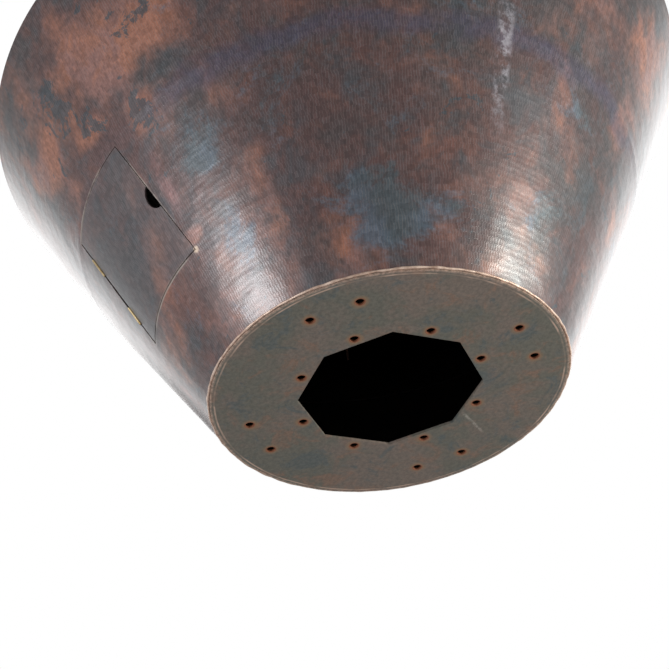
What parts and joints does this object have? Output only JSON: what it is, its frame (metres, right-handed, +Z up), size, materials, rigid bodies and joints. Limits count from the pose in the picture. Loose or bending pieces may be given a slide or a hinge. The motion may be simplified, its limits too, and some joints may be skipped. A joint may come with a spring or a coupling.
{
  "type": "fire bowl",
  "caption": "Hammered copper fire bowl shaped as an upturned truncated cone, with a curved access door, an octagonal base opening and a drop-in gas burner pan.",
  "frame": {"origin": "centre of the base plate's underside", "axes": "+Z up along the cone's axis from the small end to the wide rim, -Y towards the access door"},
  "size_m": [0.856, 0.856, 0.411],
  "materials": {
    "lower_cone_shell": "fire-patinated hammered copper sheet",
    "upper_cone_shell": "fire-patinated hammered copper sheet",
    "seam_weld_bead": "heat-tinted planished weld",
    "base_plate": "matt oxidised copper plate",
    "base_braze_bead": "bright uneven braze",
    "rim_flange": "dull copper sheet",
    "flange_gussets": "dull copper sheet",
    "door_stop_frame": "dull copper sheet",
    "lower_hinge_frame_leaf": "satin brass",
    "upper_hinge_frame_leaf": "satin brass",
    "hinge_pins": "satin brass",
    "catch_magnet": "dark ferrite block",
    "catch_bracket": "dull copper sheet",
    "valve_bracket": "folded steel plate",
    "valve_body": "forged brass",
    "valve_mount_screws": "zinc-plated steel",
    "valve_seats": "fluoropolymer rings",
    "packing_nut": "forged brass",
    "inlet_elbow": "forged brass",
    "riser_tube": "drawn copper tube",
    "riser_nut": "forged brass",
    "orifice_spud": "forged brass",
    "door_panel": "fire-patinated hammered copper sheet",
    "lower_hinge_door_leaf": "satin brass",
    "upper_hinge_door_leaf": "satin brass",
    "catch_keeper": "zinc-plated steel",
    "valve_ball": "chromed ball",
    "valve_stem": "turned brass",
    "valve_lever": "plated steel strip",
    "lever_grip": "dipped vinyl sleeve",
    "lever_nut": "forged brass",
    "pan_rim": "brushed stainless steel",
    "pan_floor": "brushed stainless steel",
    "burner_hub": "brushed stainless steel",
    "burner_ring": "brushed stainless steel",
    "hub_locknut": "brushed stainless steel",
    "mixer_tube": "forged brass"
  },
  "bodies": {
    "bowl": {"lower_cone_shell": "lower_cone_shell", "upper_cone_shell": "upper_cone_shell", "seam_weld_bead": "seam_weld_bead", "base_plate": "base_plate", "base_braze_bead": "base_braze_bead", "rim_flange": "rim_flange", "flange_gussets": "flange_gussets", "door_stop_frame": "door_stop_frame", "lower_hinge_frame_leaf": "lower_hinge_frame_leaf", "upper_hinge_frame_leaf": "upper_hinge_frame_leaf", "hinge_pins": "hinge_pins", "catch_magnet": "catch_magnet", "catch_bracket": "catch_bracket", "valve_bracket": "valve_bracket", "valve_body": "valve_body", "valve_mount_screws": "valve_mount_screws", "valve_seats": "valve_seats", "packing_nut": "packing_nut", "inlet_elbow": "inlet_elbow", "riser_tube": "riser_tube", "riser_nut": "riser_nut", "orifice_spud": "orifice_spud"},
    "door": {"door_panel": "door_panel", "lower_hinge_door_leaf": "lower_hinge_door_leaf", "upper_hinge_door_leaf": "upper_hinge_door_leaf", "catch_keeper": "catch_keeper"},
    "valve_handle": {"valve_ball": "valve_ball", "valve_stem": "valve_stem", "valve_lever": "valve_lever", "lever_grip": "lever_grip", "lever_nut": "lever_nut"},
    "burner": {"pan_rim": "pan_rim", "pan_floor": "pan_floor", "burner_hub": "burner_hub", "burner_ring": "burner_ring", "hub_locknut": "hub_locknut", "mixer_tube": "mixer_tube"}
  },
  "joints": [
    {"name": "door_hinge", "type": "hinge", "parent": "bowl", "child": "door", "pos_m": [-0.08785, -0.27959, 0.1626], "axis": [0.0134, 0.5116, -0.8591], "range_deg": [0, 110]},
    {"name": "valve_turn", "type": "hinge", "parent": "bowl", "child": "valve_handle", "pos_m": [0, -0.165, 0.09], "axis": [0, -1, 0], "range_deg": [0, 90]},
    {"name": "burner_lift", "type": "slide", "parent": "bowl", "child": "burner", "axis": [0, 0, 1], "range_m": [0, 0.15]}
  ]
}
